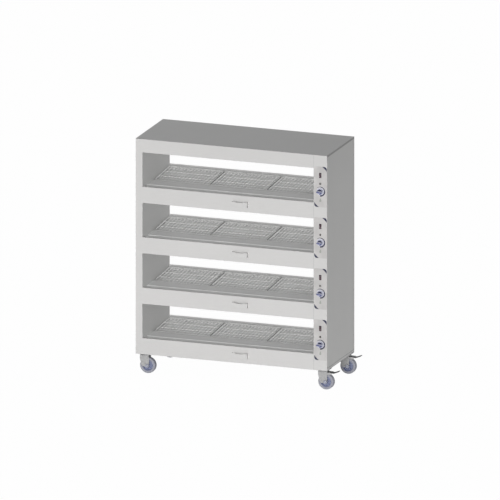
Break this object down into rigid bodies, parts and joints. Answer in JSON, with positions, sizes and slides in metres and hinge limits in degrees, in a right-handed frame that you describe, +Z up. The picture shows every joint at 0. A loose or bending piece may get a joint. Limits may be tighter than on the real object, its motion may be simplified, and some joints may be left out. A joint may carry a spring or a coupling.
{
  "type": "mobile heated cabinet",
  "caption": "Tall steel cabinet on castors with open, sloping heated shelves that are filled from the front and emptied at the back, with controls beside each shelf.",
  "frame": {"origin": "centre of the whole object's bounding box in X and Y, on the floor", "axes": "+X to the right of someone facing the front, +Y to the back, +Z up"},
  "size_m": [1.257, 0.501, 1.4395],
  "materials": {
    "outer_steel": "satin",
    "inner_steel": "satin",
    "grid_wire": "bright",
    "element_sheath": "matte",
    "knob_plastic": "satin",
    "thermostat_metal": "satin",
    "rocker_plastic": "gloss",
    "black_plastic": "satin",
    "terminal_plastic": "satin",
    "wheel_rubber": "satin",
    "castor_zinc": "satin"
  },
  "bodies": {
    "root": {"base_pan": "outer_steel", "cable_gland": "black_plastic", "castor_plate_front_left": "castor_zinc", "castor_plate_front_right": "castor_zinc", "castor_plate_rear_left": "castor_zinc", "castor_plate_rear_right": "castor_zinc", "control_fascia": "outer_steel", "front_frame": "outer_steel", "heated_shelf_1": "inner_steel", "heated_shelf_2": "inner_steel", "heated_shelf_3": "inner_steel", "heated_shelf_4": "inner_steel", "heating_element_1": "element_sheath", "heating_element_2": "element_sheath", "heating_element_3": "element_sheath", "heating_element_4": "element_sheath", "inner_liner": "inner_steel", "left_side_shell": "outer_steel", "rear_frame": "outer_steel", "right_side_shell": "outer_steel", "roof_panel": "outer_steel", "switch_housing_1": "black_plastic", "switch_housing_2": "black_plastic", "switch_housing_3": "black_plastic", "switch_housing_4": "black_plastic", "terminal_block": "terminal_plastic", "thermostat_1": "thermostat_metal", "thermostat_2": "thermostat_metal", "thermostat_3": "thermostat_metal", "thermostat_4": "thermostat_metal"},
    "thermostat_knob_1": {"thermostat_knob_1": "knob_plastic"},
    "rocker_1": {"rocker_1": "rocker_plastic"},
    "wire_grid_1_left": {"wire_grid_1_left": "grid_wire"},
    "wire_grid_1_middle": {"wire_grid_1_middle": "grid_wire"},
    "wire_grid_1_right": {"wire_grid_1_right": "grid_wire"},
    "thermostat_knob_2": {"thermostat_knob_2": "knob_plastic"},
    "rocker_2": {"rocker_2": "rocker_plastic"},
    "wire_grid_2_left": {"wire_grid_2_left": "grid_wire"},
    "wire_grid_2_middle": {"wire_grid_2_middle": "grid_wire"},
    "wire_grid_2_right": {"wire_grid_2_right": "grid_wire"},
    "thermostat_knob_3": {"thermostat_knob_3": "knob_plastic"},
    "rocker_3": {"rocker_3": "rocker_plastic"},
    "wire_grid_3_left": {"wire_grid_3_left": "grid_wire"},
    "wire_grid_3_middle": {"wire_grid_3_middle": "grid_wire"},
    "wire_grid_3_right": {"wire_grid_3_right": "grid_wire"},
    "thermostat_knob_4": {"thermostat_knob_4": "knob_plastic"},
    "rocker_4": {"rocker_4": "rocker_plastic"},
    "wire_grid_4_left": {"wire_grid_4_left": "grid_wire"},
    "wire_grid_4_middle": {"wire_grid_4_middle": "grid_wire"},
    "wire_grid_4_right": {"wire_grid_4_right": "grid_wire"},
    "castor_fork_front_left": {"castor_fork_front_left": "castor_zinc"},
    "castor_wheel_front_left": {"castor_wheel_front_left": "wheel_rubber"},
    "castor_fork_front_right": {"castor_fork_front_right": "castor_zinc"},
    "castor_wheel_front_right": {"castor_wheel_front_right": "wheel_rubber"},
    "brake_pedal_front_right": {"brake_pedal_front_right": "black_plastic"},
    "castor_fork_rear_left": {"castor_fork_rear_left": "castor_zinc"},
    "castor_wheel_rear_left": {"castor_wheel_rear_left": "wheel_rubber"},
    "castor_fork_rear_right": {"castor_fork_rear_right": "castor_zinc"},
    "castor_wheel_rear_right": {"castor_wheel_rear_right": "wheel_rubber"},
    "brake_pedal_rear_right": {"brake_pedal_rear_right": "black_plastic"}
  },
  "joints": [
    {"name": "knob_1_turn", "type": "hinge", "parent": "root", "child": "thermostat_knob_1", "pos_m": [0.5295, -0.2265, 1.2175], "axis": [0, 1, 0], "range_deg": [0, 270]},
    {"name": "rocker_1_tilt", "type": "hinge", "parent": "root", "child": "rocker_1", "pos_m": [0.5295, -0.2242, 1.3165], "axis": [1, 0, 0], "range_deg": [-18, 0]},
    {"name": "grid_1_left_lift", "type": "slide", "parent": "root", "child": "wire_grid_1_left", "axis": [0, 0, 1], "range_m": [0, 0.1]},
    {"name": "grid_1_middle_lift", "type": "slide", "parent": "root", "child": "wire_grid_1_middle", "axis": [0, 0, 1], "range_m": [0, 0.1]},
    {"name": "grid_1_right_lift", "type": "slide", "parent": "root", "child": "wire_grid_1_right", "axis": [0, 0, 1], "range_m": [0, 0.1]},
    {"name": "knob_2_turn", "type": "hinge", "parent": "root", "child": "thermostat_knob_2", "pos_m": [0.5295, -0.2265, 0.906], "axis": [0, 1, 0], "range_deg": [0, 270]},
    {"name": "rocker_2_tilt", "type": "hinge", "parent": "root", "child": "rocker_2", "pos_m": [0.5295, -0.2242, 1.005], "axis": [1, 0, 0], "range_deg": [-18, 0]},
    {"name": "grid_2_left_lift", "type": "slide", "parent": "root", "child": "wire_grid_2_left", "axis": [0, 0, 1], "range_m": [0, 0.1]},
    {"name": "grid_2_middle_lift", "type": "slide", "parent": "root", "child": "wire_grid_2_middle", "axis": [0, 0, 1], "range_m": [0, 0.1]},
    {"name": "grid_2_right_lift", "type": "slide", "parent": "root", "child": "wire_grid_2_right", "axis": [0, 0, 1], "range_m": [0, 0.1]},
    {"name": "knob_3_turn", "type": "hinge", "parent": "root", "child": "thermostat_knob_3", "pos_m": [0.5295, -0.2265, 0.5945], "axis": [0, 1, 0], "range_deg": [0, 270]},
    {"name": "rocker_3_tilt", "type": "hinge", "parent": "root", "child": "rocker_3", "pos_m": [0.5295, -0.2242, 0.6935], "axis": [1, 0, 0], "range_deg": [-18, 0]},
    {"name": "grid_3_left_lift", "type": "slide", "parent": "root", "child": "wire_grid_3_left", "axis": [0, 0, 1], "range_m": [0, 0.1]},
    {"name": "grid_3_middle_lift", "type": "slide", "parent": "root", "child": "wire_grid_3_middle", "axis": [0, 0, 1], "range_m": [0, 0.1]},
    {"name": "grid_3_right_lift", "type": "slide", "parent": "root", "child": "wire_grid_3_right", "axis": [0, 0, 1], "range_m": [0, 0.1]},
    {"name": "knob_4_turn", "type": "hinge", "parent": "root", "child": "thermostat_knob_4", "pos_m": [0.5295, -0.2265, 0.283], "axis": [0, 1, 0], "range_deg": [0, 270]},
    {"name": "rocker_4_tilt", "type": "hinge", "parent": "root", "child": "rocker_4", "pos_m": [0.5295, -0.2242, 0.382], "axis": [1, 0, 0], "range_deg": [-18, 0]},
    {"name": "grid_4_left_lift", "type": "slide", "parent": "root", "child": "wire_grid_4_left", "axis": [0, 0, 1], "range_m": [0, 0.1]},
    {"name": "grid_4_middle_lift", "type": "slide", "parent": "root", "child": "wire_grid_4_middle", "axis": [0, 0, 1], "range_m": [0, 0.1]},
    {"name": "grid_4_right_lift", "type": "slide", "parent": "root", "child": "wire_grid_4_right", "axis": [0, 0, 1], "range_m": [0, 0.1]},
    {"name": "swivel_front_left", "type": "hinge", "parent": "root", "child": "castor_fork_front_left", "pos_m": [-0.5875, -0.1685, 0], "axis": [0, 0, 1], "continuous": true},
    {"name": "wheel_front_left_spin", "type": "hinge", "parent": "castor_fork_front_left", "child": "castor_wheel_front_left", "pos_m": [-0.5695, -0.1685, 0.0485], "axis": [0, 1, 0], "continuous": true},
    {"name": "swivel_front_right", "type": "hinge", "parent": "root", "child": "castor_fork_front_right", "pos_m": [0.5305, -0.1685, 0], "axis": [0, 0, 1], "continuous": true},
    {"name": "wheel_front_right_spin", "type": "hinge", "parent": "castor_fork_front_right", "child": "castor_wheel_front_right", "pos_m": [0.5485, -0.1685, 0.0485], "axis": [0, 1, 0], "continuous": true},
    {"name": "brake_front_right_press", "type": "hinge", "parent": "castor_fork_front_right", "child": "brake_pedal_front_right", "pos_m": [0.5485, -0.1685, 0.1033], "axis": [0, 1, 0], "range_deg": [0, 10]},
    {"name": "swivel_rear_left", "type": "hinge", "parent": "root", "child": "castor_fork_rear_left", "pos_m": [-0.5875, 0.2145, 0], "axis": [0, 0, 1], "continuous": true},
    {"name": "wheel_rear_left_spin", "type": "hinge", "parent": "castor_fork_rear_left", "child": "castor_wheel_rear_left", "pos_m": [-0.5695, 0.2145, 0.0485], "axis": [0, 1, 0], "continuous": true},
    {"name": "swivel_rear_right", "type": "hinge", "parent": "root", "child": "castor_fork_rear_right", "pos_m": [0.5305, 0.2145, 0], "axis": [0, 0, 1], "continuous": true},
    {"name": "wheel_rear_right_spin", "type": "hinge", "parent": "castor_fork_rear_right", "child": "castor_wheel_rear_right", "pos_m": [0.5485, 0.2145, 0.0485], "axis": [0, 1, 0], "continuous": true},
    {"name": "brake_rear_right_press", "type": "hinge", "parent": "castor_fork_rear_right", "child": "brake_pedal_rear_right", "pos_m": [0.5485, 0.2145, 0.1033], "axis": [0, 1, 0], "range_deg": [0, 10]}
  ]
}
